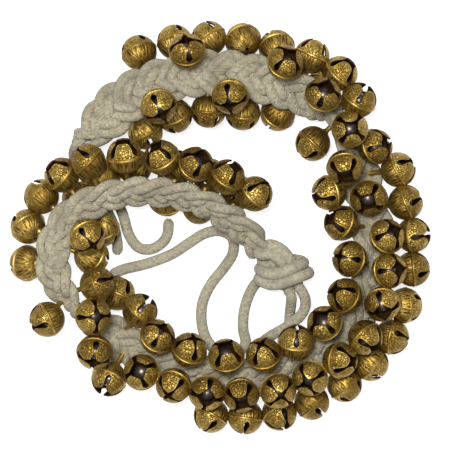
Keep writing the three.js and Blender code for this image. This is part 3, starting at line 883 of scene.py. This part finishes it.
def bell_shape(tip, neck_half_width):
    """A hollow bell round the origin, its mouth up: cup, rim, and four petals that end at a latitude."""
    petal_end = PETAL_RINGS[-1]
    tip_rings = [petal_end + (tip - petal_end) * share for share in TIP_SHARES]
    latitudes = CUP_RINGS + RIM_RINGS + PETAL_RINGS + tip_rings
    mesh = bpy.data.meshes.new("bell")
    work = bmesh.new()
    layer = work.loops.layers.uv.new("surface")
    for quarter in range(PETALS):
        add_quarter(work, layer, quarter, latitudes, tip, neck_half_width)
    bmesh.ops.remove_doubles(work, verts=work.verts[:], dist=WELD_DISTANCE)
    work.to_mesh(mesh)
    work.free()
    mesh.materials.append(BRASS)
    mesh.materials.append(INSIDE)
    obj = link(bpy.data.objects.new("bell", mesh))
    wall = obj.modifiers.new("wall", "SOLIDIFY")
    wall.thickness = BELL_WALL
    wall.offset = -1
    # The wall's inner face and its cut edges take the dark inside colour: painted shade there
    wall.material_offset = 1
    wall.material_offset_rim = 1
    thick = bpy.data.meshes.new_from_object(obj.evaluated_get(bpy.context.evaluated_depsgraph_get()))
    bpy.data.objects.remove(obj)
    return shape_from(thick)


def shape_from(mesh):
    shape = Shape()
    uv = mesh.uv_layers["surface"].data if "surface" in mesh.uv_layers else None
    corners = []
    for polygon in mesh.polygons:
        corners.append([tuple(uv[index].uv) if uv else PELLET_PLACE for index in polygon.loop_indices])
    shape.add(
        [np.array(vertex.co) for vertex in mesh.vertices],
        [list(polygon.vertices) for polygon in mesh.polygons],
        corners,
        [polygon.material_index for polygon in mesh.polygons],
    )
    return shape


def shank_shape():
    shape = Shape()
    angles = [2 * math.pi * side / SHANK_SIDES for side in range(SHANK_SIDES)]
    points = [
        np.array((radius * math.cos(angle), radius * math.sin(angle), height))
        for radius, height in SHANK_OUTLINE
        for angle in angles
    ]
    faces = []
    for ring in range(len(SHANK_OUTLINE) - 1):
        for side in range(SHANK_SIDES):
            after = (side + 1) % SHANK_SIDES
            a, b = ring * SHANK_SIDES, (ring + 1) * SHANK_SIDES
            faces.append([a + after, a + side, b + side, b + after])
    shape.add(points, faces, [[(0.0, SHANK_LATITUDE)] * 4 for _ in faces])
    return shape


def ball_shape():
    mesh = bpy.data.meshes.new("pellet")
    work = bmesh.new()
    bmesh.ops.create_uvsphere(
        work, u_segments=PELLET_SEGMENTS, v_segments=PELLET_RINGS, radius=PELLET_RADIUS
    )
    work.to_mesh(mesh)
    work.free()
    return shape_from(mesh)


BELL_SHAPES = [bell_shape(*closing) for closing in CLOSINGS]
SHANK_SHAPE = shank_shape()
BALL_SHAPE = ball_shape()
# Each casting and ball shows another part of the textures, up to this far off
TEXTURE_SPREAD = 500


def bell_matrix(centre, axis, most_lean):
    """Where a bell stands, turned about its own axis by chance and leaning by up to some degrees."""
    stand = Vector((0, 0, 1)).rotation_difference(axis)
    way = dice.uniform(0, 2 * math.pi)
    lean = Quaternion((math.cos(way), math.sin(way), 0), math.radians(dice.uniform(0, most_lean)))
    spin = Quaternion((0, 0, 1), dice.uniform(0, 2 * math.pi))
    return Matrix.Translation(centre) @ (stand @ lean @ spin).to_matrix().to_4x4()


def assemble(name, parts, materials, sharp=None):
    """One object from shapes in millimetres, each put in place by a matrix in metres."""
    whole = Shape()
    local = []
    for shape, matrix in parts:
        points = np.array(shape.points)
        turned = points @ np.array(matrix.to_3x3()).T * MM + np.array(matrix.translation)
        whole.add(list(turned), shape.faces, shape.corners, shape.slots)
        local.append(points + np.array([dice.uniform(0, TEXTURE_SPREAD) for _ in range(3)]))
    return mesh_object(name, whole, materials, np.concatenate(local), sharp)


def add_bell_object(name, node_name, body, places, most_lean=0):
    """The bells at some places as one object: castings that lean by chance, on shanks that don't."""
    parts = [(dice.choice(BELL_SHAPES), bell_matrix(*place, most_lean)) for place in places]
    parts += [(SHANK_SHAPE, bell_matrix(*place, 0)) for place in places]
    bells = assemble(name, parts, [BRASS, INSIDE], SHARP_ANGLE)
    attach(bells, body)
    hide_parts(node_name)


def add_pellets(name, body, centres, node_name=None):
    pellets = assemble(name, [(BALL_SHAPE, Matrix.Translation(centre)) for centre in centres], [STEEL])
    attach(pellets, body)
    if node_name:
        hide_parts(node_name)


# Bells that swing: each stands on its pivot, round the middle of its pellet's play
def add_swinging_bells():
    for joint in frame["joints"]:
        if joint["type"] != "hinge":
            continue
        name = joint["child"]
        pellet = name.replace("bell", "pellet")
        low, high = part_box(pellet)
        rest = (low + high) / 2
        centre = rest + Vector((0, 0, PELLET_DROP * MM))
        axis = (centre - Vector(joint["pos_m"])).normalized()
        add_bell_object(f"{name}_casting", name, name, [(centre, axis)])
        add_pellets(f"{pellet}_ball", pellet, [rest], pellet)


# Bells of a chain: in the solids each shank's tip is a point where twelve edges of more than 6 mm meet
TIP_EDGES = 12
TIP_EDGE_LENGTH = 6.0
MICROMETRES_PER_METRE = 1e6


def chain_places(mesh):
    """Centre and axis of each bell in a chain's solid, found from the tips of the shanks."""
    found = {}
    index_of = []
    for vertex in mesh.vertices:
        key = tuple(round(value * MICROMETRES_PER_METRE) for value in vertex.co)
        index_of.append(found.setdefault(key, len(found)))
    points = [Vector(key) / MICROMETRES_PER_METRE for key in found]
    near = [set() for _ in points]
    for edge in mesh.edges:
        a, b = (index_of[v] for v in edge.vertices)
        near[a].add(b)
        near[b].add(a)
    places = []
    for index, point in enumerate(points):
        ring = [points[other] for other in near[index]]
        shortest = min(((other - point).length for other in ring), default=0)
        if len(ring) != TIP_EDGES or shortest < TIP_EDGE_LENGTH * MM:
            continue
        axis = (sum(ring, Vector()) / TIP_EDGES - point).normalized()
        places.append((point + axis * (SHANK_LENGTH + BELL_RADIUS) * MM, axis))
    return places


def add_chains():
    drop = Vector((0, 0, -PELLET_DROP * MM))
    for name in sorted(nodes):
        if not name.startswith("bell_chain_"):
            continue
        places = chain_places(nodes[name].data)
        add_bell_object(f"{name}_castings", name, "string", places, CHAIN_LEAN)
        add_pellets(f"{name}_balls", "string", [centre + drop for centre, _ in places])


# Stage: a pale floor that glows enough to look white and still takes the object's shadow
FLOOR_HALF_SIZE = 2.0
FLOOR_HEIGHT = -0.2 * MM
FLOOR_GREY = 0.4
FLOOR_GLOW = 0.8


def add_floor():
    mesh = bpy.data.meshes.new("floor")
    corners = ((-1, -1), (1, -1), (1, 1), (-1, 1))
    mesh.from_pydata(
        [(x * FLOOR_HALF_SIZE, y * FLOOR_HALF_SIZE, FLOOR_HEIGHT) for x, y in corners], [], [(0, 1, 2, 3)]
    )
    floor = link(bpy.data.objects.new("floor", mesh))
    material, tree, shader = new_material("white_floor")
    shader.inputs["Base Color"].default_value = (FLOOR_GREY, FLOOR_GREY, FLOOR_GREY, 1)
    shader.inputs["Roughness"].default_value = 0.9
    rays = tree.nodes.new("ShaderNodeLightPath").outputs
    mirrored = math_node(tree, "MAXIMUM", rays["Is Glossy Ray"], rays["Is Transmission Ray"])
    seen = math_node(tree, "MAXIMUM", rays["Is Camera Ray"], mirrored)
    shader.inputs["Emission Color"].default_value = (1, 1, 1, 1)
    tree.links.new(math_node(tree, "MULTIPLY", seen, FLOOR_GLOW), shader.inputs["Emission Strength"])
    mesh.materials.append(material)


# Light: a bright zenith over a dark horizon, as under a wide skylight, and a key light beside the camera
KEY_PLACE = Vector((-0.15, 0.22, 1.7))
KEY_SIZE = 0.35
KEY_POWER = 32
SKY_HORIZON = (0.1, 0.1, 0.1)
SKY_ZENITH = (1.0, 1.0, 1.0)
SKY_SPAN = (0.1, 0.95)
SKY_STRENGTH = 0.75


def add_key_light():
    light = bpy.data.lights.new("key", "AREA")
    light.energy = KEY_POWER
    light.shape = "SQUARE"
    light.size = KEY_SIZE
    key = link(bpy.data.objects.new("key", light))
    key.location = KEY_PLACE
    key.rotation_euler = (-KEY_PLACE).to_track_quat("-Z", "Y").to_euler()


def add_sky():
    world = bpy.data.worlds.new("studio")
    world.use_nodes = True
    tree = world.node_tree
    direction = tree.nodes.new("ShaderNodeSeparateXYZ")
    tree.links.new(tree.nodes.new("ShaderNodeTexCoord").outputs["Generated"], direction.inputs[0])
    sky = blend(tree, ramp(tree, direction.outputs[2], *SKY_SPAN), SKY_HORIZON, SKY_ZENITH)
    tree.links.new(sky, tree.nodes["Background"].inputs["Color"])
    tree.nodes["Background"].inputs["Strength"].default_value = SKY_STRENGTH
    bpy.context.scene.world = world


add_camera()
add_cords()
add_plait()
add_knot()
add_swinging_bells()
add_chains()
add_floor()
add_key_light()
add_sky()
bpy.context.scene.view_settings.view_transform = "Standard"
